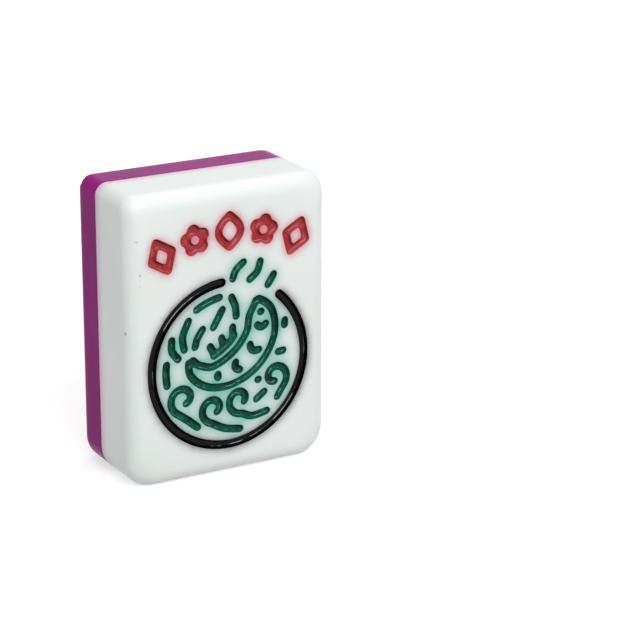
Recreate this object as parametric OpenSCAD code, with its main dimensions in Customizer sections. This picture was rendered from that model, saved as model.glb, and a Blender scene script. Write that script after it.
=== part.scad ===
// Mahjong tile: a white face layer cemented to a purple back layer, engraved and filled with enamel on the
// face and printed on the back. It stands on its short side: X runs across the face, Y from the face to the
// back, Z up, and the origin lies under the middle of the tile.

/* [Tile] */
// Height of the tile
tile_h = 30; // [29:0.5:42]
// Width of the tile
tile_w = 22.2; // [21:0.1:32]
// Thickness of the tile, both layers and the cement film together
tile_t = 11.7; // [10.8:0.1:16]
// Thickness of the purple back layer
back_t = 4.7; // [3:0.1:6]
// Thickness of the cement film between the layers
bond_t = 0.1; // [0.05:0.01:0.2]
// How far the cement film stays inside the sides of the tile
bond_inset = 0.04; // [0.02:0.01:0.1]
// Radius of the four corners, seen from the front
corner_r = 2; // [1.9:0.1:4]
// Radius polished onto the rims of the face and of the back
edge_r = 1.8; // [0.6:0.1:1.8]

/* [Engraving] */
// Depth of the engraved channels
groove_depth = 0.6; // [0.4:0.05:1.2]
// How far the enamel ends below the face
enamel_sink = 0.15; // [0.05:0.01:0.3]
// Rounding in the inside corners where channels meet
groove_fillet = 0.12; // [0.05:0.01:0.2]

/* [Ring] */
// Radius of the ring, to the middle of its channel
ring_r = 8.5; // [8:0.1:9]
// Width of the ring's channel
ring_w = 0.95; // [0.6:0.05:1.2]
// How far the middle of the ring lies below the middle of the face
ring_drop = 3.25; // [2.6:0.05:3.45]
// How far the ring was cut off the middle, to the right
ring_x = -0.2; // [-0.4:0.05:0.4]
// Angle at which the gap of the ring starts, from the right and going up
gap_start = 48; // [44:1:52]
// Angle at which the gap of the ring ends
gap_end = 95; // [92:1:105]

/* [Red row] */
// Height of the middle motif above the ring's channel
row_gap = 5.1; // [4.6:0.1:5.6]
// Radius of the arch on which the motifs stand
row_arch_r = 18.5; // [16:0.5:30]
// Distance from one motif to the next along the arch
row_pitch = 3.8; // [3.6:0.05:4.2]
// Height of a motif
motif_h = 4.1; // [3.4:0.1:4.4]
// Width of a motif
motif_w = 3.3; // [2.8:0.1:3.5]
// Width of the red channels
red_w = 0.85; // [0.6:0.05:0.9]

/* [Green picture] */
// Width of the green channels
green_w = 0.78; // [0.5:0.02:0.84]

/* [Back print] */
// Height of the whole printed lantern
print_h = 18.6; // [16:0.2:22]
// Width of the lantern's body
lantern_w = 8.4; // [6:0.2:12]
// Height of the lantern's body
lantern_h = 8; // [6:0.2:9]
// Thickness of one film of ink
ink_t = 0.04; // [0.02:0.01:0.08]
// Width of the printed outlines
line_w = 0.28; // [0.15:0.01:0.4]

/* [Hidden] */
face_t = tile_t - bond_t - back_t;
face_y = -tile_t / 2;
seam_y = face_y + face_t;
back_seam_y = seam_y + bond_t;
back_y = tile_t / 2;
cut_over = edge_r / 2;
fill_t = groove_depth - enamel_sink;
end_steps = 8;
line_steps = 8;
$fn = 64;

// The ring's centre, and the middle and the step of the red row above it
ring_z = tile_h / 2 - ring_drop;
row_z = ring_z + ring_r + row_gap;
row_step = row_pitch / row_arch_r * 180 / PI;
row_names = ["left_diamond", "left_blossom", "middle_bud", "right_blossom", "right_diamond"];
// Where a blossom's petals are centred and how large its eye is, as shares of its radius
petal_share = 0.56;
eye_share = 0.27;

// The green picture is a carp that leaps from waves. Its places are shares of the ring's radius, across
// and up from the ring's centre. The carp from its nose to its tail: across, up and half of its width
carp_shares = [[0.38, 0.72, 0.02], [0.42, 0.56, 0.15], [0.42, 0.3, 0.19], [0.26, 0.05, 0.195],
    [0.01, -0.1, 0.17], [-0.24, -0.13, 0.125], [-0.43, -0.03, 0.085], [-0.5, 0.1, 0.03]];
middle_shares = smooth([for (p = carp_shares) [p[0], p[1]]], 5);
half_shares = [for (p = smooth(carp_shares, 5)) p[2]];
// How far the fins stand off the carp's flanks, its marks from them, and how much a mark bows
fin_share = 0.13;
mark_share = 0.125;
mark_bow_share = 0.6;
// A stroke so short that it is a dot
dot_share = 0.01;
// A wave's curl: its steps, the turn of each, its radius at the start and the loss in each
curl_steps = 18;
curl_turn = 17;
curl_start_share = 1.15;
curl_loss_share = 0.042;
// Channels: the name of the enamel in each, then the paths of the cutter
green_shares = [
    ["carp_body", [flank(1), flank(-1)]],
    ["carp_eye", [ray([0.42, 0.565], 0, dot_share)]],
    ["carp_gill", [mark(8)]],
    ["front_scale", [mark(13)]],
    ["middle_scale", [mark(18)]],
    ["rear_scale", [mark(23)]],
    ["lower_tail_ray", [[[-0.66, 0.16], [-0.74, 0.27], [-0.74, 0.4]]]],
    ["middle_tail_ray", [[[-0.58, 0.26], [-0.6, 0.42], [-0.52, 0.6]]]],
    ["upper_tail_ray", [[[-0.44, 0.27], [-0.41, 0.37], [-0.34, 0.47]]]],
    ["back_fin", concat([[for (i = [13:25]) beside(i, -1)]],
        [for (k = [0:2]) ray(beside(14 + 5 * k, -1), 90 + 14 * k, 0.13)])],
    ["breast_fin", [ray(beside(8, 1), 268, 0.06)]],
    ["belly_fin", [ray(beside(12, 1), 5, 0.07)]],
    ["left_wave", [wave([[-0.42, -0.72], [-0.56, -0.6]], [-0.6, -0.34], 245, -1, 0.165)]],
    ["low_wave", [wave([[0.14, -0.84], [-0.06, -0.8]], [-0.21, -0.53], 262, -1, 0.155)]],
    ["middle_wave", [wave([[0.5, -0.68], [0.3, -0.71]], [0.14, -0.48], 280, -1, 0.155)]],
    ["right_wave", [wave([[0.64, -0.53], [0.69, -0.45]], [0.61, -0.27], 318, 1, 0.15)]],
    ["foam_drop", [ray([0.38, -0.27], 0, dot_share)]],
    ["foam_dash", [ray([0.36, -0.51], 36, 0.13)]],
    ["upper_mist", [ring_path(0.83, 98, 120)]],
    ["tail_mist", [[[-0.2, 0.47], [-0.14, 0.57], [-0.08, 0.67]]]],
    ["left_mist", [ring_path(0.82, 172, 190)]],
    ["head_mist", [[[0.04, 0.8], [0.09, 0.68], [0.1, 0.56]]]],
    ["near_spray", [ray([0.52, 0.88], 56, 0.14)]],
    ["middle_spray", [[[0.28, 0.98], [0.38, 1.06], [0.42, 1.18]]]],
    ["far_spray", [[[0.06, 1.02], [0.1, 1.12], [0.2, 1.2]]]],
];

// Sizes of the printed lantern: its caps, the cord above it, the knot below it and the tassel
cap_w = 3.6;
cap_h = 0.9;
cord_w = 0.56;
cord_h = 2;
knot_r = 0.6;
knot_tuck = 0.15;
tassel_w = 1.8;
rim_line_w = 0.39;
strand_w = 0.22;
// Lines of the lantern as shares of its body: ribs across, bands up, and how far a band bows
rib_shares = [-0.74, -0.4, 0, 0.4, 0.74];
band_shares = [-0.36, -0.1];
bow_share = 0.09;
// Strands of the tassel, as shares of its half width
strand_shares = [-0.9, -0.45, 0, 0.45, 0.9];
lantern_z = print_h / 2 - cord_h - cap_h - lantern_h / 2;
knot_z = lantern_z - lantern_h / 2 - cap_h - knot_r + knot_tuck;
tassel_top = knot_z - knot_r + knot_tuck;
tassel_end = -print_h / 2;

// A direction of length one
function unit(v) = v / norm(v);

// The direction at an angle
function aim(angle) = [cos(angle), sin(angle)];

// A quarter turn to the left
function left_of(way) = [-way.y, way.x];

// A list the other way round
function turned(list) = [for (i = [len(list) - 1:-1:0]) list[i]];

// The way a path of points runs at one of them
function heading(path, i) = unit(path[min(i + 1, len(path) - 1)] - path[max(i - 1, 0)]);

// A smooth path through a few points
function smooth(points, steps) = concat([for (i = [0:len(points) - 2], k = [0:steps - 1])
    let (a = points[max(i - 1, 0)], b = points[i], c = points[i + 1], d = points[min(i + 2, len(points) - 1)],
        t = k / steps)
    b + (c - a) * t / 2 + (2 * a - 5 * b + 4 * c - d) * t * t / 2 + (3 * b - a - 3 * c + d) * t * t * t / 2],
    [points[len(points) - 1]]);

// One flank of the carp: 1 is the belly, -1 the back
function flank(side) = [for (i = [0:len(middle_shares) - 1])
    middle_shares[i] + side * half_shares[i] * left_of(heading(middle_shares, i))];

// A place beside the carp, counted from its nose
function beside(i, side) =
    middle_shares[i] + side * (half_shares[i] + fin_share) * left_of(heading(middle_shares, i));

// A bowed mark across the carp's body, counted from its nose
function mark(i) = let (way = heading(middle_shares, i), reach = half_shares[i] - mark_share)
    [for (u = [-1:0.25:1])
        middle_shares[i] + reach * u * left_of(way) + mark_bow_share * reach * (1 - u * u) * way];

// A straight stroke from its root
function ray(root, angle, length) = [root, root + length * aim(angle)];

// A place on a curl that draws in as it turns
function curl(centre, radius, angle, k) =
    centre + radius * (curl_start_share - curl_loss_share * abs(k)) * aim(angle + curl_turn * k);

// A wave that climbs from its foot and curls over
function wave(foot, centre, angle, turn, radius) = concat(
    smooth(concat(foot, [curl(centre, radius, angle, 0)]), 3),
    [for (k = [1:curl_steps]) curl(centre, radius, angle, turn * k)]);

// A path along the ring
function ring_path(radius, from, to) = [for (k = [0:4]) radius * aim(from + (to - from) * k / 4)];

// The round end of a stroke
function stroke_end(tip, way, width) = [for (k = [1:end_steps - 1])
    tip + width / 2 * aim(atan2(way.y, way.x) + 90 - 180 * k / end_steps)];

// One edge of a stroke, on its left when followed from first to last
function stroke_edge(path, width) = [for (i = [0:len(path) - 1])
    path[i] + width / 2 * left_of(heading(path, i))];

// The outline that a round cutter leaves when it follows a path
module stroke(path, width)
    polygon(concat(
        stroke_edge(path, width),
        stroke_end(path[len(path) - 1], heading(path, len(path) - 1), width),
        stroke_edge(turned(path), width),
        stroke_end(path[0], -heading(path, 0), width)));

// Channels that meet have a small rounding in their inside corners
module merged()
    offset(r = -groove_fillet, $fn = 2 * end_steps)
        offset(r = groove_fillet, $fn = 2 * end_steps)
            children();

// Flat shapes joined into one outline
module joined()
    offset(delta = 0)
        children();

// A flat shape of the face, from a depth below the face and with a thickness
module on_face(depth, thickness)
    translate([0, face_y + depth, 0])
        rotate([90, 0, 0])
            linear_extrude(thickness)
                children();

// A flat shape of the back, drawn as seen from behind around the middle, at a height above the back
module on_back(height, thickness)
    translate([0, back_y + height, tile_h / 2])
        rotate([90, 0, 180])
            linear_extrude(thickness)
                children();

// An open diamond
module diamond_shape() {
    reach = [(motif_w - red_w) / 2, (motif_h - red_w) / 2];
    corners = [[reach.x, 0], [0, reach.y], [-reach.x, 0], [0, -reach.y], [reach.x, 0]];
    merged()
        for (i = [0:3])
            stroke([corners[i], corners[i + 1]], red_w);
}

// A blossom of five petals around a pale eye
module blossom_shape() {
    r = motif_w / 2;
    difference() {
        merged()
            for (k = [0:4])
                translate(petal_share * r * aim(90 + 72 * k))
                    circle((1 - petal_share) * r, $fn = 3 * end_steps);
        circle(eye_share * r, $fn = 2 * end_steps);
    }
}

// A lotus bud between its two bowed sides
module bud_shape() {
    side = (motif_w - red_w) / 2;
    top = (motif_h - red_w) / 2;
    merged()
        for (s = [-side, side])
            stroke([for (k = [-6:6]) [s * cos(15 * k), top * k / 6]], red_w);
}

// A motif of the red row in its place on the arch, counted from the middle one
module red_shape(i)
    translate([0, row_z - row_arch_r])
        rotate(-i * row_step)
            translate([0, row_arch_r]) {
                if (abs(i) == 2) diamond_shape();
                if (abs(i) == 1) blossom_shape();
                if (i == 0) bud_shape();
            }

// A channel of the green picture
module green_shape(channel)
    translate([ring_x, ring_z])
        merged()
            for (path = channel[1])
                stroke(ring_r * (len(path) < 5 ? smooth(path, 4) : path), green_w);

// The ring's channel with its two round ends, from a depth below the face and with a thickness
module ring_bar(depth, thickness)
    translate([ring_x, face_y + depth, ring_z])
        rotate([90, 0, 0]) {
            rotate([0, 0, gap_end])
                rotate_extrude(angle = 360 - gap_end + gap_start)
                    translate([ring_r - ring_w / 2, 0])
                        square([ring_w, thickness]);
            for (tip = [[gap_end, 180], [gap_start, 0]])
                rotate([0, 0, tip[0]])
                    translate([ring_r, 0, 0])
                        rotate([0, 0, tip[1]])
                            rotate_extrude(angle = 180)
                                square([ring_w / 2, thickness]);
        }

// A quarter of a disc
module quarter(radius)
    intersection() {
        circle(radius);
        square(radius);
    }

// The section of a layer's side: from inside to outside, and from its seam up to its polished rim
module rim_section(thickness) {
    square([corner_r - edge_r, thickness]);
    translate([corner_r - edge_r, 0])
        square([edge_r, thickness - edge_r]);
    translate([corner_r - edge_r, thickness - edge_r])
        quarter(edge_r);
}

// One layer of the tile, lying on its seam, with its polished rim on top
module layer(thickness) {
    core = [tile_w - 2 * corner_r, tile_h - 2 * corner_r];
    translate([-core.x / 2, -core.y / 2, 0])
        cube([core.x, core.y, thickness]);
    for (turn = [0, 180])
        rotate([0, 0, turn]) {
            translate([core.x / 2, core.y / 2, 0])
                rotate([90, 0, 0])
                    linear_extrude(core.y)
                        rim_section(thickness);
            translate([-core.x / 2, core.y / 2, 0])
                rotate([90, 0, 90])
                    linear_extrude(core.x)
                        rim_section(thickness);
            translate([core.x / 2, core.y / 2, 0])
                rotate_extrude(angle = 90)
                    rim_section(thickness);
            translate([-core.x / 2, core.y / 2, 0])
                rotate([0, 0, 90])
                    rotate_extrude(angle = 90)
                        rim_section(thickness);
        }
}

// The white face layer with every engraved channel
module face_block()
    color("ghostwhite")
        difference() {
            translate([0, seam_y, tile_h / 2])
                rotate([90, 0, 0])
                    layer(face_t);
            ring_bar(groove_depth, groove_depth + cut_over);
            for (i = [-2:2])
                on_face(groove_depth, groove_depth + cut_over)
                    red_shape(i);
            for (channel = green_shares)
                on_face(groove_depth, groove_depth + cut_over)
                    green_shape(channel);
        }

// The film of cement between the two layers
module bond_film()
    color("plum")
        translate([0, back_seam_y, tile_h / 2])
            rotate([90, 0, 0])
                linear_extrude(bond_t) {
                    core = [tile_w - 2 * corner_r, tile_h - 2 * corner_r];
                    r = corner_r - bond_inset;
                    square([core.x + 2 * r, core.y], center = true);
                    for (turn = [0, 180])
                        rotate(turn) {
                            translate([-core.x / 2, core.y / 2])
                                square([core.x, r]);
                            translate([core.x / 2, core.y / 2])
                                quarter(r);
                            translate([-core.x / 2, core.y / 2])
                                rotate(90)
                                    quarter(r);
                        }
                }

// The purple back layer
module back_block()
    color("darkmagenta")
        translate([0, back_seam_y, tile_h / 2])
            rotate([-90, 0, 0])
                layer(back_t);

// The black enamel in the ring
module ring_enamel()
    color("black")
        ring_bar(groove_depth, fill_t);

// The red enamel in a motif of the row
module red_enamel(i)
    color("firebrick")
        on_face(groove_depth, fill_t)
            red_shape(i);

// The green enamel in a channel of the picture
module green_enamel(channel)
    color("darkgreen")
        on_face(groove_depth, fill_t)
            green_shape(channel);

// Half of the lantern's width at a height above its middle
function girth(v) = lantern_w / 2 * sqrt(1 - pow(2 * v / lantern_h, 2) * (1 - pow(cap_w / lantern_w, 2)));

// A rib from the lower cap to the upper one, at a share of the half width
function rib(share) = [for (k = [-line_steps:line_steps]) let (v = lantern_h / 2 * k / line_steps)
    [share * girth(v), lantern_z + v]];

// A bowed line across the lantern, at a share of its height
function band(share) = [for (k = [-line_steps:line_steps]) let (u = k / line_steps)
    [u * girth(share * lantern_h), lantern_z + (share - bow_share * (1 - u * u)) * lantern_h]];

module lantern_outline()
    polygon(concat(rib(1), turned(rib(-1))));

module cap_outlines()
    for (side = [-1, 1])
        translate([0, lantern_z + side * (lantern_h + cap_h) / 2])
            square([cap_w, cap_h], center = true);

module cord_outline()
    translate([-cord_w / 2, lantern_z + lantern_h / 2 + cap_h])
        square([cord_w, cord_h]);

module knot_outline()
    translate([0, knot_z])
        circle(knot_r, $fn = 4 * end_steps);

module tassel_outline()
    polygon([[-knot_r / 2, tassel_top], [knot_r / 2, tassel_top], [tassel_w / 2, tassel_end],
        [-tassel_w / 2, tassel_end]]);

module black_lines() {
    difference() {
        lantern_outline();
        offset(delta = -rim_line_w) lantern_outline();
    }
    cap_outlines();
    for (share = rib_shares)
        stroke(rib(share), line_w);
    intersection() {
        lantern_outline();
        for (share = band_shares)
            stroke(band(share), line_w);
    }
    difference() {
        knot_outline();
        offset(delta = -line_w) knot_outline();
    }
    intersection() {
        tassel_outline();
        for (share = strand_shares)
            stroke([[share * knot_r / 2, tassel_top], [share * tassel_w / 2, tassel_end]], strand_w);
    }
}

module red_areas() {
    intersection() {
        lantern_outline();
        polygon(concat(band(band_shares[0]), turned(band(band_shares[1]))));
    }
    knot_outline();
}

module grey_areas() {
    polygon(concat(rib(rib_shares[3]), turned(rib(1))));
    polygon([[0, tassel_top], [knot_r / 2, tassel_top], [tassel_w / 2, tassel_end], [0, tassel_end]]);
    cord_outline();
}

// The white ink that lies under the whole print
module print_underbase()
    color("white")
        on_back(0, ink_t)
            joined() {
                lantern_outline();
                cap_outlines();
                cord_outline();
                knot_outline();
                tassel_outline();
            }

// The black ink of the print's lines
module print_black()
    color("black")
        on_back(ink_t, ink_t)
            joined()
                black_lines();

// The dark red ink between the lines
module print_red()
    color("crimson")
        on_back(ink_t, ink_t)
            joined()
                difference() {
                    red_areas();
                    black_lines();
                }

// The grey ink that shades the print
module print_grey()
    color("silver")
        on_back(ink_t, ink_t)
            joined()
                difference() {
                    grey_areas();
                    red_areas();
                    black_lines();
                }

face_block();
bond_film();
back_block();
ring_enamel();
for (i = [0:len(row_names) - 1])
    red_enamel(i - 2);
for (channel = green_shares)
    green_enamel(channel);
print_underbase();
print_black();
print_red();
print_grey();
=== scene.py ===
import math

import bmesh
import bpy
import numpy as np
from mathutils import Matrix, Vector, geometry, noise


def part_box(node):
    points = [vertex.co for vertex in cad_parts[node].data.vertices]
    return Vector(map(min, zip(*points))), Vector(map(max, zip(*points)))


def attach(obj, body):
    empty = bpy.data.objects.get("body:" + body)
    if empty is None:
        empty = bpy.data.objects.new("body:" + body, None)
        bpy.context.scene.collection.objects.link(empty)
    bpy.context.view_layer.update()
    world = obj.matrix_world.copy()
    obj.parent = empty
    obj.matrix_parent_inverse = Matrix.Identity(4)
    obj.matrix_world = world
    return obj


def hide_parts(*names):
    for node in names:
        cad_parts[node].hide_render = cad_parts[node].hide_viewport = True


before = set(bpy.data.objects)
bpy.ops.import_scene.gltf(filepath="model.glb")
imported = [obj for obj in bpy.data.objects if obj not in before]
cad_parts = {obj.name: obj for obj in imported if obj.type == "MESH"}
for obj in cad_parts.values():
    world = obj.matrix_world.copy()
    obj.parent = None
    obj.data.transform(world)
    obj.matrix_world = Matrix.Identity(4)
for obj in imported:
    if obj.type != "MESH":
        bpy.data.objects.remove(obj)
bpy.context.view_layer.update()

mm = 0.001

# The camera stands before the left front edge of the tile and looks down at it, as the photographer's
# did. Its place and turn were worked out from the tile's corners and seam in the photograph.
camera_place = Vector((-108.3, -209.16, 93.47)) * mm
camera_yaw, camera_pitch, camera_roll = math.radians(30.23), math.radians(18.54), math.radians(0.19)
camera = bpy.data.objects.new("camera", bpy.data.cameras.new("camera"))
bpy.context.scene.collection.objects.link(camera)
camera.data.sensor_width = 36
camera.data.lens = 138.8
camera.data.clip_start, camera.data.clip_end = 10 * mm, 10
camera.matrix_world = (
    Matrix.Translation(camera_place)
    @ Matrix.Rotation(-camera_yaw, 4, "Z")
    @ Matrix.Rotation(math.pi / 2 - camera_pitch, 4, "X")
    @ Matrix.Rotation(camera_roll, 4, "Z")
)
bpy.context.scene.camera = camera
bpy.context.scene.view_settings.view_transform = "Standard"

# The face layer is a slab of white resin, cemented to the back layer, sawn, and tumbled until its rim is
# round and glossy. It is then engraved with a ball cutter, which leaves the lips of the channels soft.
red_names = ["left_diamond", "left_blossom", "middle_bud", "right_blossom", "right_diamond"]
green_names = [
    "carp_body", "carp_eye", "carp_gill", "front_scale", "middle_scale", "rear_scale", "lower_tail_ray",
    "middle_tail_ray", "upper_tail_ray", "back_fin", "breast_fin", "belly_fin", "left_wave", "low_wave",
    "middle_wave", "right_wave", "foam_drop", "foam_dash", "upper_mist", "tail_mist", "left_mist",
    "head_mist", "near_spray", "middle_spray", "far_spray",
]
face_lo, face_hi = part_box("face_block")
half_w, tile_h = face_hi.x, face_hi.z
face_y, seam_y = face_lo.y, face_hi.y
# The tumbling wore the corners unevenly. Radii: lower right, upper right, upper left and lower left
corner_radii = np.array([2.8, 2.1, 1.3, 2.6]) * mm
# The rim: how far it reaches in from the sides, the radii of its inner corners, and the power of its
# curve, which is 2 for a quarter of a circle
rim_reach, rim_radii, rim_power = 1.8 * mm, corner_radii + 0.25 * mm, 2.02
# Steps down the rim and around a corner, and the step along the straight sides
rim_steps, arc_steps, side_step = 18, 16, 0.9 * mm
# The channels: the step along their outlines, how far the cutter softened them, and their edges' wear
outline_step, outline_blur, edge_wear = 0.085 * mm, 0.13 * mm, 0.035 * mm
# The open ring: the width of its stroke, and the turns at which its gap starts and ends
ring_w = 0.95 * mm
gap_start, gap_end = math.radians(48), math.radians(95)


def tile_loop(inset, radii):
    """A rounded rectangle as the tile is seen from the front, with as many points whatever its inset."""
    points = []
    width, height = half_w - inset, tile_h / 2 - inset
    counts = [round(tile_h / side_step), round(2 * half_w / side_step)] * 2
    side_ways, height_ways = (1, 1, -1, -1), (-1, 1, 1, -1)

    def on_corner(corner, turn):
        r = radii[corner]
        x, z = (width - r) * side_ways[corner], (height - r) * height_ways[corner]
        return np.array([x + r * math.cos(turn), z + r * math.sin(turn)])

    for corner in range(4):
        turns = [math.pi / 2 * (corner - 1 + k / arc_steps) for k in range(arc_steps + 1)]
        points += [on_corner(corner, turn) for turn in turns]
        start, end = points[-1], on_corner((corner + 1) % 4, turns[-1])
        points += [start + (end - start) * k / counts[corner] for k in range(1, counts[corner])]
    return np.array(points) + (0, tile_h / 2)


def even_steps(loop, step):
    """The same closed outline with points at even steps."""
    closed = np.vstack([loop, loop[:1]])
    along = np.concatenate([[0], np.cumsum(np.linalg.norm(np.diff(closed, axis=0), axis=1))])
    places = np.linspace(0, along[-1], round(along[-1] / step), endpoint=False)
    return np.column_stack([np.interp(places, along, closed[:, i]) for i in (0, 1)])


def softened(loop, blur, step):
    """The outline as a round cutter leaves it, without the flats between its corners."""
    blurs_each_way = 3
    reach = int(blurs_each_way * blur / step)
    weights = np.exp(-0.5 * (np.arange(-reach, reach + 1) * step / blur) ** 2)
    weights /= weights.sum()
    return sum(w * np.roll(loop, k, axis=0) for w, k in zip(weights, range(-reach, reach + 1)))


def area(loop):
    """The area within a closed outline, less than zero where the outline runs clockwise."""
    x, z = loop[:, 0], loop[:, 1]
    return 0.5 * np.sum(x * np.roll(z, -1) - z * np.roll(x, -1))


def channel_loops(node):
    """The outlines of a filled channel: where the walls of its enamel meet the front."""
    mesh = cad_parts[node].data
    micron, front_microns, least_area = 0.001 * mm, 5, 0.02 * mm * mm
    spots = [tuple(round(c / micron) for c in v.co) for v in mesh.vertices]
    front = min(spot[1] for spot in spots)
    follow = {}
    for face in mesh.polygons:
        around_face = [spots[v] for v in face.vertices]
        at_front = [spot[1] - front < front_microns for spot in around_face]
        if not all(at_front):
            for k, spot in enumerate(around_face):
                if at_front[k] and at_front[k - 1] and spot != around_face[k - 1]:
                    follow[spot] = around_face[k - 1]
    loops = []
    while follow:
        spot = min(follow)
        loop = []
        while spot in follow:
            loop.append((spot[0] * micron, spot[2] * micron))
            spot = follow.pop(spot)
        loop = np.array(loop)
        if abs(area(loop)) > least_area:
            loops.append(softened(even_steps(loop, outline_step), outline_blur, outline_step))
    return loops


def ring_loop():
    """The outline of the open ring, with its two round ends."""
    low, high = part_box("ring_enamel")
    outer = (high.x - low.x) / 2
    middle = np.array([(low.x + high.x) / 2, low.z + outer])
    radius = outer - ring_w / 2

    def arc(centre, r, start, end):
        turns = np.linspace(start, end, round(abs(end - start) * r / outline_step), endpoint=False)
        return centre + r * np.column_stack([np.cos(turns), np.sin(turns)])

    def aim(turn):
        return np.array([math.cos(turn), math.sin(turn)])

    far = gap_start + 2 * math.pi
    return np.vstack([
        arc(middle, outer, gap_end, far),
        arc(middle + radius * aim(far), ring_w / 2, far, far + math.pi),
        arc(middle, outer - ring_w, far, gap_end),
        arc(middle + radius * aim(gap_end), ring_w / 2, gap_end + math.pi, gap_end + 2 * math.pi),
    ])


def outwards(loops):
    """For each point of a channel's outlines, the way out of the channel."""
    ways = []
    outermost = max(range(len(loops)), key=lambda i: abs(area(loops[i])))
    for i, loop in enumerate(loops):
        along = np.roll(loop, -1, axis=0) - np.roll(loop, 1, axis=0)
        along /= np.linalg.norm(along, axis=1)[:, None]
        way = np.column_stack([along[:, 1], -along[:, 0]])
        ways.append(way * np.sign(area(loop)) * (1 if i == outermost else -1))
    return ways


def inside(points, loops):
    """Which points lie within the outlines, which then cross to their right an odd number of times."""
    odd = np.zeros(len(points), bool)
    for loop in loops:
        for (x0, z0), (x1, z1) in zip(loop, np.roll(loop, -1, axis=0)):
            level = (points[:, 1] < z0) != (points[:, 1] < z1)
            if level.any():
                cross = x0 + (points[:, 1] - z0) * (x1 - x0) / (z1 - z0)
                odd ^= level & (points[:, 0] < cross)
    return odd


def distance(points, loops):
    """How far points lie from a channel's outlines, less than zero inside the channel."""
    if not len(points):
        return np.zeros(0)
    starts = np.vstack(loops)
    ways = np.vstack([np.roll(loop, -1, axis=0) - loop for loop in loops])
    length = np.sum(ways * ways, axis=1)
    nearest = []
    part_size = 400
    for part in np.array_split(points, max(1, len(points) // part_size)):
        away = part[:, None] - starts[None]
        share = np.clip(np.sum(away * ways, axis=2) / length, 0, 1)
        nearest.append(np.linalg.norm(away - share[:, :, None] * ways, axis=2).min(axis=1))
    nearest = np.concatenate(nearest)
    return np.where(inside(points, loops), -nearest, nearest)


def near(points, channels, reach):
    """The distance to the nearest of several channels, and the reach where all are farther off."""
    least = np.full(len(points), reach)
    for loops in channels:
        low, high = np.vstack(loops).min(axis=0) - reach, np.vstack(loops).max(axis=0) + reach
        close = np.all((points > low) & (points < high), axis=1)
        least[close] = np.minimum(least[close], distance(points[close], loops))
    return least


def filled(points, chains):
    """Triangles over points in a plane that keep the given chains of points as their edges."""
    whole_hull, least_gap = 0, 1e-6
    verts, _, faces, _, _, _ = geometry.delaunay_2d_cdt(
        [Vector(p) for p in points / mm], chains, [], whole_hull, least_gap
    )
    return np.array([v[:] for v in verts]) * mm, np.array([list(f) for f in faces])


def closed_chain(start, count):
    """The edges between points that follow each other around a closed outline."""
    return [(start + k, start + (k + 1) % count) for k in range(count)]


def rings(loops, ways, offsets):
    """Outlines set off from a channel's own, as points and as the edges between them."""
    points, chains, start = [], [], 0
    for offset in offsets:
        for loop, way in zip(loops, ways):
            points.append(loop + offset * way)
            chains += closed_chain(start, len(loop))
            start += len(loop)
    return np.vstack(points), chains


def grid(low, high, step):
    """Points in staggered rows, for triangles with nearly even sides."""
    row_share = 0.866
    rows = np.arange(low[1], high[1], step * row_share)
    return np.array([
        (x, z) for i, z in enumerate(rows) for x in np.arange(low[0] + (i % 2) * step / 2, high[0], step)
    ])


def new_piece(name, verts, faces, sharp_angle):
    """A piece with smooth faces, whose edges stay sharp from the given angle in degrees."""
    mesh = bpy.data.meshes.new(name)
    mesh.from_pydata([tuple(v) for v in verts], [], [tuple(int(i) for i in f) for f in faces])
    mesh.validate()
    mesh.update()
    mesh.polygons.foreach_set("use_smooth", [True] * len(mesh.polygons))
    mesh.set_sharp_from_angle(angle=math.radians(sharp_angle))
    piece = bpy.data.objects.new(name, mesh)
    bpy.context.scene.collection.objects.link(piece)
    return piece


def worn(loops):
    """The outlines of a channel whose edges broke away a little under the cutter."""
    return [loop + edge_wear * way for loop, way in zip(loops, outwards(loops))]


red_channels = [channel_loops(name + "_enamel") for name in red_names]
green_channels = [worn(channel_loops(name + "_enamel")) for name in green_names]
ring_channel = [ring_loop()]
channels = [ring_channel] + red_channels + green_channels

# Depth of the face below its plane at distances from an outline, less than zero inside the channel
lip_at = np.array([-0.13, -0.03, 0, 0.035, 0.08]) * mm
lip_depth = np.array([0.57, 0.2, 0.03, 0.006, 0]) * mm
# The plain ground: the step between its points, their margin beside a lip, and a reach past all lips
grid_step, grid_margin, past_lips = 0.32 * mm, 0.16 * mm, 1 * mm

inner_loop = tile_loop(rim_reach, rim_radii)
outer_loop = tile_loop(0, corner_radii)
around = len(inner_loop)
flat_points = [inner_loop]
flat_chains = closed_chain(0, around)
count = around
for loops in channels:
    points, chains = rings(loops, outwards(loops), lip_at)
    flat_points.append(points)
    flat_chains += [(count + a, count + b) for a, b in chains]
    count += len(points)
ground = grid(inner_loop.min(axis=0), inner_loop.max(axis=0), grid_step)
ground = ground[inside(ground, [tile_loop(rim_reach + grid_margin, rim_radii)])]
ground = ground[near(ground, channels, past_lips) > grid_margin]
flat_points.append(ground)
flat, flat_faces = filled(np.vstack(flat_points), flat_chains)
flat_depth = np.interp(near(flat, channels, past_lips), lip_at, lip_depth)

# Both layers have a small chamfer at the seam, a narrow level before it, and steps down their sides
seam_chamfer, seam_level, wall_steps = 0.05 * mm, 0.02 * mm, 8
chamfer_inset = 0.6 * seam_chamfer


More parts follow.
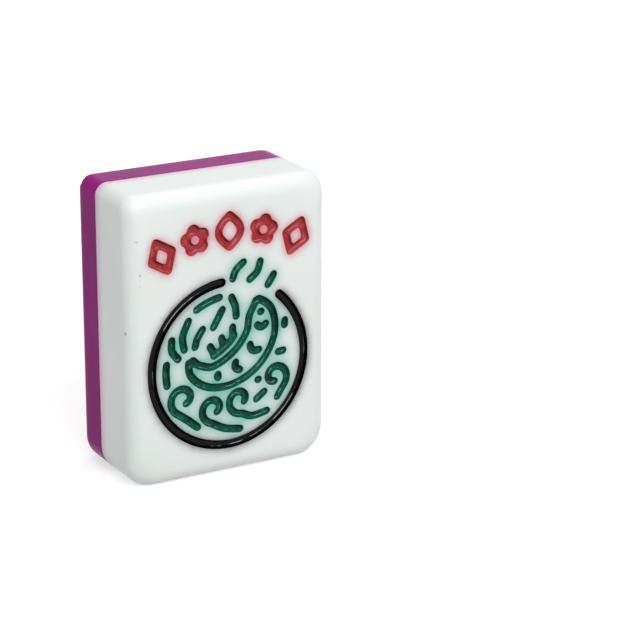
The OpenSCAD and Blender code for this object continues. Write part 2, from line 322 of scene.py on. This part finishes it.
def slab(points, depths, triangles, front_loop, reach, front_y, back_y):
    """A layer of the tile: its flat side, its round rim, its sides and its seam, as points and faces."""
    way = 1 if back_y > front_y else -1
    verts = [(x, front_y + way * d, z) for (x, z), d in zip(points, depths)]
    faces = [list(corners) for corners in triangles]
    levels = []
    for k in range(rim_steps + 1):
        turn = math.pi / 2 * k / rim_steps
        out = math.sin(turn) ** (2 / rim_power)
        depth = reach * (1 - math.cos(turn) ** (2 / rim_power))
        levels.append((front_loop + (outer_loop - front_loop) * out, front_y + way * depth))
    chamfer_y = back_y - way * seam_chamfer
    wall = np.linspace(levels[-1][1], chamfer_y - way * seam_level, wall_steps)
    levels += [(outer_loop, y) for y in wall[1:]]
    levels.append((outer_loop, chamfer_y))
    levels.append((tile_loop(chamfer_inset, corner_radii - chamfer_inset), back_y))
    start = len(verts)
    for loop, y in levels:
        verts += [(x, y, z) for x, z in loop]
    for k in range(len(levels) - 1):
        faces += [[a, a + around, b + around, b] for a, b in closed_chain(start + k * around, around)]
    middle = len(verts)
    verts.append((0, back_y, tile_h / 2))
    faces += [[a, middle, b] for a, b in closed_chain(middle - around, around)]
    return verts, faces


def welded(piece):
    """Joins the points that meet along a rim, and turns all faces outwards."""
    weld_gap = 0.002 * mm
    work = bmesh.new()
    work.from_mesh(piece.data)
    bmesh.ops.remove_doubles(work, verts=work.verts, dist=weld_gap)
    bmesh.ops.recalc_face_normals(work, faces=work.faces)
    work.to_mesh(piece.data)
    work.free()


face_block = new_piece(
    "white_face_block",
    *slab(flat, flat_depth, flat_faces, inner_loop, rim_reach, face_y, seam_y),
    sharp_angle=70,
)
welded(face_block)

# Light from the red and green enamel spreads in the resin around them, and shade lies in it around the
# black ring: both are painted into the face's colour. How strongly at a point of the front and of the
# upper part of its rim is kept as the share of enamel around the point.
glow_step, glow_steps, rim_share = 0.1 * mm, 20, 0.6
places = np.array([v.co[:] for v in face_block.data.vertices])
on_front = places[:, 1] < face_y + rim_reach * rim_share
across, up = np.arange(-half_w, half_w, glow_step), np.arange(0, tile_h, glow_step)
spots = np.array([(x, z) for z in up for x in across])
columns = np.clip(np.rint((places[:, 0] + half_w) / glow_step).astype(int), 0, len(across) - 1)
rows = np.clip(np.rint(places[:, 2] / glow_step).astype(int), 0, len(up) - 1)
for name, group, spread in (
    ("red_glow", red_channels, 0.42 * mm),
    ("green_glow", green_channels, 0.55 * mm),
    ("ring_shade", [ring_channel], 0.42 * mm),
):
    weights = np.exp(-0.5 * (np.arange(-glow_steps, glow_steps + 1) * glow_step / spread) ** 2)
    weights /= weights.sum()
    share = (near(spots, group, past_lips) < 0).astype(float).reshape(len(up), len(across))
    for axis in (0, 1):
        share = np.apply_along_axis(np.convolve, axis, share, weights, "same")
    field = face_block.data.attributes.new(name, "FLOAT", "POINT")
    field.data.foreach_set("value", (share[rows, columns] * on_front).astype(np.float32))
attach(face_block, "root")
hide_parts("face_block")

# White resin, slightly green in its depth. The polish leaves it glossy and faintly wavy, with a few
# specks. Painted light tints it beside the red and green fillings and beside the purple layer, and
# painted shade greys it around the black ring.


def new_finish(name):
    """A new finish, its nodes and its shader."""
    finish = bpy.data.materials.new(name)
    finish.use_nodes = True
    tree = finish.node_tree
    shader = tree.nodes["Principled BSDF"]
    return finish, tree, shader


def add(tree, kind, settings=None, **inputs):
    """A node of the finish, with its inputs set to values or joined to other nodes' outputs."""
    node = tree.nodes.new("ShaderNode" + kind)
    for key, value in (settings or {}).items():
        setattr(node, key, value)
    for key, value in inputs.items():
        socket = node.inputs[int(key[1:]) if key[1:].isdigit() else key.replace("_", " ")]
        if isinstance(value, bpy.types.NodeSocket):
            tree.links.new(value, socket)
        else:
            socket.default_value = value
    return node


def grains(tree, size, detail=3.0, stretch=(1, 1, 1), roughness=0.5):
    """Noise in the tile's own space, mostly from 0.3 to 0.7, with clouds about as large as the size."""
    place = add(tree, "TexCoord").outputs["Object"]
    spread = add(tree, "Mapping", Vector=place, Scale=stretch).outputs["Vector"]
    return add(
        tree, "TexNoise", Vector=spread, Scale=1 / size, Detail=detail, Roughness=roughness
    ).outputs["Fac"]


def between(tree, value, low, high, start=0.0, end=1.0):
    """The value taken from one range to another, with soft ends."""
    node = add(tree, "MapRange", {"interpolation_type": "SMOOTHSTEP"}, Value=value)
    for key, number in (("From Min", low), ("From Max", high), ("To Min", start), ("To Max", end)):
        node.inputs[key].default_value = number
    return node.outputs["Result"]


def times(tree, a, b):
    """One value multiplied by another."""
    return add(tree, "Math", {"operation": "MULTIPLY"}, _0=a, _1=b).outputs["Value"]


def mixed(tree, share, a, b):
    """One colour turning into another."""
    first_input, second_input, colour_output = 6, 7, 2
    node = add(tree, "Mix", {"data_type": "RGBA"}, _0=share)
    for index, colour in ((first_input, a), (second_input, b)):
        if isinstance(colour, bpy.types.NodeSocket):
            tree.links.new(colour, node.inputs[index])
        else:
            node.inputs[index].default_value = (*colour, 1)
    return node.outputs[colour_output]


def specks(tree, spacing, size, share):
    """Small spots in a share of the cells of a grid that has no order."""
    core_share, full_share = 0.5, 0.9
    place = add(tree, "TexCoord").outputs["Object"]
    cells = add(tree, "TexVoronoi", Vector=place, Scale=1 / spacing)
    spot = between(tree, cells.outputs["Distance"], size / spacing, core_share * size / spacing)
    chance = add(tree, "SeparateColor", Color=cells.outputs["Color"]).outputs["Red"]
    return times(tree, spot, between(tree, chance, share, share * full_share))


def polished(tree, shader, patches, low, high, start=0.3, end=0.7):
    """Gloss that changes from patch to patch, from one roughness to another."""
    tree.links.new(between(tree, patches, start, end, low, high), shader.inputs["Roughness"])


def dented(tree, shader, height, depth):
    """Shallow dents that catch the light, of the given depth."""
    bump = add(tree, "Bump", Height=height, Strength=1.0, Distance=depth)
    tree.links.new(bump.outputs["Normal"], shader.inputs["Normal"])


white_resin, clouded_resin, cloud_size = (0.785, 0.845, 0.815), (0.82, 0.86, 0.84), 9 * mm
# Painted light beside the red and green fillings, pink and mint, and painted shade around the ring, grey
pink_glow, mint_glow, painted_ring_shade = (0.7, 0.24, 0.3), (0.15, 0.5, 0.4), (0.1, 0.105, 0.105)
faint_tint, full_tint = 1.25, 1.65
lilac_glow, lilac_reach, lilac_share = (0.77, 0.53, 0.68), 1.5 * mm, 0.85
speck_grey = (0.12, 0.12, 0.11)
finish, tree, shader = new_finish("white_resin")
colour = mixed(tree, between(tree, grains(tree, cloud_size), 0.35, 0.65), white_resin, clouded_resin)
# Painted light and painted shade beside the fillings, stronger in some patches than in others
for name, painted_tint, patch in (
    ("ring_shade", painted_ring_shade, 2.5 * mm),
    ("green_glow", mint_glow, 1.6 * mm),
    ("red_glow", pink_glow, 0.9 * mm),
):
    share = add(tree, "Attribute", {"attribute_name": name}).outputs["Fac"]
    share = times(tree, share, between(tree, grains(tree, patch), 0.3, 0.7, faint_tint, full_tint))
    colour = mixed(tree, share, colour, painted_tint)
# Painted light from the purple layer: a lilac tint on the face layer near the seam
place = add(tree, "TexCoord").outputs["Object"]
depth = add(tree, "SeparateXYZ", Vector=place).outputs["Y"]
share = between(tree, depth, seam_y - lilac_reach, seam_y, 0.0, lilac_share)
colour = mixed(tree, share, colour, lilac_glow)
dots = specks(tree, spacing=3.2 * mm, size=0.13 * mm, share=0.12)
colour = mixed(tree, dots, colour, speck_grey)
# Nicks beside the left rim: place across and up, half width and half height in millimetres, and strength
nicks = [
    (-10.0, 25.65, 0.2, 0.06, 0.7),
    (-9.75, 22.3, 0.07, 0.2, 0.75),
    (-9.8, 21.78, 0.08, 0.09, 0.3),
    (-9.8, 21.2, 0.08, 0.09, 0.35),
    (-10.95, 16.3, 0.07, 0.24, 0.5),
]
# A nick's edge and its dark core, as shares of its half sizes
nick_edge_share, nick_core_share = 1.1, 0.3
for x, z, half_width, half_height, strength in nicks:
    middle, shrink = (x * mm, 0, z * mm), (1 / (half_width * mm), 0, 1 / (half_height * mm))
    away = add(tree, "VectorMath", {"operation": "SUBTRACT"}, _0=place, _1=middle).outputs["Vector"]
    away = add(tree, "VectorMath", {"operation": "MULTIPLY"}, _0=away, _1=shrink).outputs["Vector"]
    away = add(tree, "VectorMath", {"operation": "LENGTH"}, _0=away).outputs["Value"]
    nick = between(tree, away, nick_edge_share, nick_core_share, 0.0, strength)
    colour = mixed(tree, nick, colour, speck_grey)
tree.links.new(colour, shader.inputs["Base Color"])
polished(tree, shader, grains(tree, 3.5 * mm, detail=0.0), 0.276, 0.34, start=0, end=1)
shader.inputs["Subsurface Weight"].default_value = 0.35
shader.inputs["Subsurface Radius"].default_value = (0.8, 1.0, 0.9)
shader.inputs["Subsurface Scale"].default_value = 1.2 * mm
shader.inputs["Specular IOR Level"].default_value = 0.45
dented(tree, shader, grains(tree, 2.2 * mm, detail=0.0), 0.003 * mm)
face_block.data.materials.append(finish)

# The two layers are joined by a film of cement, pressed thin between the sheets before the tile was
# sawn out. It shows all round as a thin lilac line, a little below the polished sides.
film_lo, film_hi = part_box("bond_film")
film_inset = 0.035 * mm
film_loop = tile_loop(film_inset, corner_radii - film_inset)
film_verts = [(x, y, z) for y in (film_lo.y, film_hi.y) for x, z in film_loop]
film_verts += [(0, film_lo.y, tile_h / 2), (0, film_hi.y, tile_h / 2)]
film_edges = closed_chain(0, around)
film_faces = [(a, b, around + b, around + a) for a, b in film_edges]
film_faces += [(a, 2 * around, b) for a, b in film_edges]
film_faces += [(around + a, around + b, 2 * around + 1) for a, b in film_edges]
bond_film = new_piece("cement_film", film_verts, film_faces, sharp_angle=30)
welded(bond_film)
lilac_cement, cloudy_cement = (0.5, 0.25, 0.46), (0.62, 0.42, 0.58)
finish, tree, shader = new_finish("lilac_cement")
colour = mixed(tree, between(tree, grains(tree, 1.1 * mm), 0.35, 0.65), lilac_cement, cloudy_cement)
tree.links.new(colour, shader.inputs["Base Color"])
shader.inputs["Roughness"].default_value = 0.35
dented(tree, shader, grains(tree, 0.3 * mm), 0.01 * mm)
bond_film.data.materials.append(finish)
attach(bond_film, "root")
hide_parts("bond_film")

# The back layer is a thinner slab of purple resin, sawn and tumbled together with the face layer. Its
# back is flat for the print, and its rim is as round as the rim of the face.
purple_lo, purple_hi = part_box("back_block")
back_reach, back_radii = 1.66 * mm, np.array([2.6, 1.9, 2.3, 2.4]) * mm
sheet_step = 1.1 * mm
back_loop = tile_loop(back_reach, back_radii)
ground = grid(back_loop.min(axis=0), back_loop.max(axis=0), sheet_step)
ground = ground[inside(ground, [tile_loop(back_reach + 0.5 * sheet_step, back_radii)])]
plain, plain_faces = filled(np.vstack([back_loop, ground]), closed_chain(0, around))
no_depth = np.zeros(len(plain))
back_block = new_piece(
    "purple_back_block",
    *slab(plain, no_depth, plain_faces, back_loop, back_reach, purple_hi.y, purple_lo.y),
    sharp_angle=70,
)
welded(back_block)
purple_resin, deep_purple = (0.31, 0.008, 0.205), (0.26, 0.006, 0.172)
dust = (0.7, 0.55, 0.68)
finish, tree, shader = new_finish("purple_resin")
colour = mixed(tree, between(tree, grains(tree, 8 * mm), 0.35, 0.65), deep_purple, purple_resin)
dots = specks(tree, spacing=2.4 * mm, size=0.1 * mm, share=0.16)
colour = mixed(tree, dots, colour, dust)
tree.links.new(colour, shader.inputs["Base Color"])
polished(tree, shader, grains(tree, 2.2 * mm, detail=2.0), 0.06, 0.26, start=0, end=1)
shader.inputs["Subsurface Weight"].default_value = 0.6
shader.inputs["Subsurface Radius"].default_value = (1.0, 0.15, 1.0)
shader.inputs["Subsurface Scale"].default_value = 2 * mm
shader.inputs["Specular IOR Level"].default_value = 0.025
dented(tree, shader, grains(tree, 2.5 * mm, detail=1.0), 0.006 * mm)
back_block.data.materials.append(finish)
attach(back_block, "root")
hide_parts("back_block")

# Black enamel fills the ring's channel. It was brushed in and wiped off the face, and it dried to a
# hollow, glossy coat that follows the round bottom of the channel.
coat_inset, coat_thickness = 0.012 * mm, 0.03 * mm
# Depth of the coat below the face at distances from its edge: steep wall, round foot and flat middle
coat_at = np.array([0, 0.03, 0.08, 0.14, 0.2, 0.26, 0.33, 0.4]) * mm
coat_depth = np.array([0.07, 0.14, 0.26, 0.375, 0.445, 0.48, 0.495, 0.5]) * mm
# The coat is wavy, with long waves and shorter ones half as high, which fade out towards the walls
long_wave, short_wave, wave_reach = 0.7 * mm, 0.25 * mm, 0.14 * mm


def enamel_coat(name, loops, unevenness):
    """A closed coat of enamel between the outlines of a channel, hollow on its front."""
    ways = outwards(loops)
    points, chains = rings(loops, ways, -coat_inset - coat_at)
    own = np.repeat(coat_at, sum(len(loop) for loop in loops))
    slack = 0.01 * mm
    kept = (-distance(points, loops) - coat_inset > own - slack) | (own == 0)
    fresh = np.cumsum(kept) - 1
    chains = [(int(fresh[a]), int(fresh[b])) for a, b in chains if kept[a] and kept[b]]
    flat, faces = filled(points[kept], chains)
    edges = [loop - coat_inset * way for loop, way in zip(loops, ways)]
    faces = faces[inside(flat[faces].mean(axis=1), edges)]
    used = np.unique(faces)
    fresh = np.full(len(flat), -1)
    fresh[used] = np.arange(len(used))
    flat, faces = flat[used], fresh[faces]
    deep = np.clip(-distance(flat, loops) - coat_inset, 0, None)
    depth = np.interp(deep, coat_at, coat_depth)
    other_slice = 7
    for i, (x, z) in enumerate(flat):
        waves = noise.noise(Vector((x, 0, z)) / long_wave)
        waves += 0.5 * noise.noise(Vector((x, other_slice, z)) / short_wave)
        depth[i] += unevenness * waves * min(1, deep[i] / wave_reach)
    total = len(flat)
    verts = [(x, face_y + d, z) for (x, z), d in zip(flat, depth)]
    verts += [(x, face_y + d + coat_thickness, z) for (x, z), d in zip(flat, depth)]
    sides = set()
    for a, b, c in faces:
        for side in ((a, b), (b, c), (c, a)):
            if side[::-1] in sides:
                sides.remove(side[::-1])
            else:
                sides.add(side)
    polygons = [tuple(face) for face in faces] + [tuple(face[::-1] + total) for face in faces]
    polygons += [(b, a, a + total, b + total) for a, b in sorted(sides)]
    coat = new_piece(name, verts, polygons, sharp_angle=50)
    welded(coat)
    return coat


def facing(tree, x, z):
    """How far a wall of a channel faces the given way: from 1, down to -1 where it faces away."""
    way = add(tree, "TexCoord").outputs["Normal"]
    return add(tree, "VectorMath", {"operation": "DOT_PRODUCT"}, _0=way, _1=(x, 0, z)).outputs["Value"]


def painted_glint(tree, top, bottom, patch, share):
    """A thin uneven painted glint along both walls of a channel, between two depths, that comes and goes.
    """
    place = add(tree, "TexCoord").outputs["Object"]
    depth = add(tree, "SeparateXYZ", Vector=place).outputs["Y"]
    middle, half = face_y + (top + bottom) / 2, (bottom - top) / 2
    away = add(tree, "Math", {"operation": "SUBTRACT"}, _0=depth, _1=middle).outputs["Value"]
    away = add(tree, "Math", {"operation": "ABSOLUTE"}, _0=away).outputs["Value"]
    crisp_share = 0.6
    glint = between(tree, away, half, crisp_share * half)
    faint, full = 0.58 - 0.2 * share, 0.68 - 0.2 * share
    return times(tree, glint, between(tree, grains(tree, patch), faint, full))


ring_enamel = enamel_coat("ring_enamel_coat", ring_channel, unevenness=0.006 * mm)
black_enamel, worn_black = (0.0005, 0.001, 0.0015), (0.003, 0.004, 0.005)
painted_black_glint = (0.34, 0.36, 0.36)
finish, tree, shader = new_finish("black_enamel")
patches = grains(tree, 0.8 * mm, detail=4.0)
colour = mixed(tree, between(tree, patches, 0.45, 0.75), black_enamel, worn_black)
# Painted glint: a pale line along the walls of the ring that face up and left and those that face down
# and right
ring_glint_way = (-0.6, 0.8)
slant = add(tree, "Math", {"operation": "ABSOLUTE"}, _0=facing(tree, *ring_glint_way)).outputs["Value"]
glint = painted_glint(tree, top=0.43 * mm, bottom=0.485 * mm, patch=2.2 * mm, share=0.4)
colour = mixed(tree, times(tree, glint, between(tree, slant, 0.25, 0.45)), colour, painted_black_glint)
tree.links.new(colour, shader.inputs["Base Color"])
polished(tree, shader, grains(tree, 0.9 * mm, detail=4.0), 0.06, 0.16)
shader.inputs["Specular IOR Level"].default_value = 0.12
dented(tree, shader, grains(tree, 0.22 * mm), 0.006 * mm)
ring_enamel.data.materials.append(finish)
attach(ring_enamel, "root")
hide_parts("ring_enamel")

# Red enamel fills the five motifs of the arched row. Its tone changes at random, and painted light and
# shade make it lighter on the walls that face up and left and darker on those that face down and right.
red_enamel, pale_and_lit_red, shaded_red = (0.37, 0.023, 0.028), (0.58, 0.125, 0.135), (0.17, 0.012, 0.015)
painted_red_glint = (0.72, 0.26, 0.28)
up_and_left = (-0.3, 0.95)
finish, tree, shader = new_finish("red_enamel")
wall = facing(tree, *up_and_left)
patches = grains(tree, 1.1 * mm, detail=4.0)
colour = mixed(tree, between(tree, patches, 0.5, 0.75, 0.0, 0.5), red_enamel, pale_and_lit_red)
# Painted light and shade: lighter on walls that face up and left, darker on those that face down and
# right
colour = mixed(tree, between(tree, wall, 0.2, 0.8, 0.0, 0.5), colour, pale_and_lit_red)
colour = mixed(tree, between(tree, wall, -0.15, -0.75, 0.0, 0.9), colour, shaded_red)
# Painted glint: a pale line along the walls that face up and left
glint = painted_glint(tree, top=0.4 * mm, bottom=0.46 * mm, patch=0.8 * mm, share=0.6)
colour = mixed(tree, times(tree, glint, between(tree, wall, 0.1, 0.4, 0.0, 0.7)), colour, painted_red_glint)
tree.links.new(colour, shader.inputs["Base Color"])
polished(tree, shader, grains(tree, 0.7 * mm, detail=4.0), 0.12, 0.27)
shader.inputs["Specular IOR Level"].default_value = 0.2
dented(tree, shader, grains(tree, 0.25 * mm), 0.008 * mm)
for name, loops in zip(red_names, red_channels):
    coat = enamel_coat(name + "_coat", loops, unevenness=0.02 * mm)
    coat.data.materials.append(finish)
    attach(coat, "root")
    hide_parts(name + "_enamel")

# Green enamel fills the channels of the picture. It is uneven: dark where it pooled, and a thin teal with
# brush marks where the white shows through. Painted light and shade also make it teal on the walls that
# face up and left and dark on those that face down and right.
green_enamel, thin_and_lit_teal, pooled_and_shaded_green = (0.0, 0.085, 0.048), (0.012, 0.19, 0.125), (0.0, 0.035, 0.021)
painted_green_glint = (0.24, 0.5, 0.42)
finish, tree, shader = new_finish("green_enamel")
wall = facing(tree, *up_and_left)
unpooled = between(tree, grains(tree, 1.3 * mm, detail=4.0), 0.38, 0.6)
colour = mixed(tree, unpooled, pooled_and_shaded_green, green_enamel)
brush_marks = grains(tree, 0.5 * mm, detail=5.0, stretch=(1, 1, 0.5))
colour = mixed(tree, between(tree, brush_marks, 0.52, 0.72, 0.0, 0.7), colour, thin_and_lit_teal)
# Painted light and shade: teal on walls that face up and left, dark on those that face down and right
colour = mixed(tree, between(tree, wall, 0.2, 0.8, 0.0, 0.4), colour, thin_and_lit_teal)
colour = mixed(tree, between(tree, wall, -0.2, -0.8, 0.0, 0.8), colour, pooled_and_shaded_green)
# Painted glint: a pale line along the walls that face up and left
glint = painted_glint(tree, top=0.4 * mm, bottom=0.46 * mm, patch=0.6 * mm, share=0.5)
colour = mixed(tree, times(tree, glint, between(tree, wall, 0.05, 0.35, 0.0, 0.7)), colour, painted_green_glint)
tree.links.new(colour, shader.inputs["Base Color"])
polished(tree, shader, grains(tree, 0.6 * mm, detail=4.0), 0.1, 0.27)
shader.inputs["Specular IOR Level"].default_value = 0.14
dented(tree, shader, grains(tree, 0.2 * mm, detail=4.0), 0.012 * mm)
for name, loops in zip(green_names, green_channels):
    coat = enamel_coat(name + "_coat", loops, unevenness=0.03 * mm)
    coat.data.materials.append(finish)
    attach(coat, "root")
    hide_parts(name + "_enamel")

# The lantern on the back is printed in films of ink: a white one under the whole print, and grey, dark
# red and black on it. The ink cures to a satin surface with fine grain.
ink_colours = {
    "print_underbase": ((0.86, 0.86, 0.88), (0.8, 0.8, 0.83), "white_ink"),
    "print_grey": ((0.62, 0.62, 0.67), (0.45, 0.45, 0.5), "grey_ink"),
    "print_red": ((0.17, 0.004, 0.01), (0.035, 0.002, 0.004), "red_ink"),
    "print_black": ((0.004, 0.003, 0.004), (0.01, 0.009, 0.01), "black_ink"),
}
for node_name, (ink, second_ink, slot_name) in ink_colours.items():
    finish, tree, shader = new_finish(slot_name)
    shades = between(tree, grains(tree, 1.6 * mm, detail=4.0), 0.4, 0.62)
    colour = mixed(tree, shades, ink, second_ink)
    tree.links.new(colour, shader.inputs["Base Color"])
    polished(tree, shader, grains(tree, 0.5 * mm), 0.3, 0.45)
    shader.inputs["Specular IOR Level"].default_value = 0.1
    dented(tree, shader, grains(tree, 0.08 * mm), 0.004 * mm)
    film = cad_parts[node_name]
    film.data.materials.clear()
    film.data.materials.append(finish)

# The tile stands on a pale board under soft studio lamps: a large one in front and above, a strip that
# puts glints on the enamel, one overhead for the bright band along the upper rim, and one behind.
floor_size = 3.0
floor_corners = [(floor_size * x, floor_size * y, 0) for x, y in ((-1, -1), (1, -1), (1, 1), (-1, 1))]
floor = new_piece("floor", floor_corners, [(0, 1, 2, 3)], sharp_angle=30)
board_white, board_lift = (0.6, 0.6, 0.6), 0.6


def straight_looks(tree):
    """One for what the camera sees, also in a gloss or through a clear piece, and none for other rays."""
    seen = add(tree, "LightPath").outputs
    looks = seen["Is Camera Ray"]
    for kind in ("Is Glossy Ray", "Is Transmission Ray"):
        looks = add(tree, "Math", {"operation": "MAXIMUM"}, _0=looks, _1=seen[kind]).outputs["Value"]
    return looks


finish, tree, shader = new_finish("pale_board")
shader.inputs["Roughness"].default_value = 0.9
shader.inputs["Specular IOR Level"].default_value = 0.0
shader.inputs["Base Color"].default_value = (*board_white, 1)
lift = times(tree, straight_looks(tree), board_lift)
shader.inputs["Emission Color"].default_value = (1, 1, 1, 1)
tree.links.new(lift, shader.inputs["Emission Strength"])
floor.data.materials.append(finish)

world = bpy.data.worlds.new("studio")
world.use_nodes = True
bpy.context.scene.world = world
tree = world.node_tree
sky = tree.nodes["Background"]
sky.inputs["Color"].default_value = (1, 1, 1, 1)
room_light = 0.45
strength = add(tree, "MapRange", Value=straight_looks(tree))
strength.inputs["To Min"].default_value = room_light
strength.inputs["To Max"].default_value = 1.0
tree.links.new(strength.outputs["Result"], sky.inputs["Strength"])

lamp_distance = 0.5


def lamp(name, direction, width, height, watts):
    """A round or oval lamp, seen from the middle of the tile in the given direction."""
    light = bpy.data.lights.new(name, "AREA")
    light.shape = "ELLIPSE"
    light.size, light.size_y = width, height
    light.energy = watts
    holder = bpy.data.objects.new(name, light)
    bpy.context.scene.collection.objects.link(holder)
    way = Vector(direction).normalized()
    holder.location = Vector((0, 0, tile_h / 2)) + lamp_distance * way
    holder.rotation_mode = "QUATERNION"
    holder.rotation_quaternion = way.to_track_quat("Z", "Y")


lamp("front_lamp", (-0.08, -0.42, 0.31), width=0.3, height=0.3, watts=1.2)
lamp("strip_lamp", (0.15, -0.5, 0.7), width=0.4, height=0.03, watts=0.3)
lamp("top_lamp", (0.436, 0.13, 0.89), width=0.26, height=0.1, watts=0.42)
lamp("back_lamp", (0.0, 1.0, 0.0), width=0.3, height=0.03, watts=0.9)
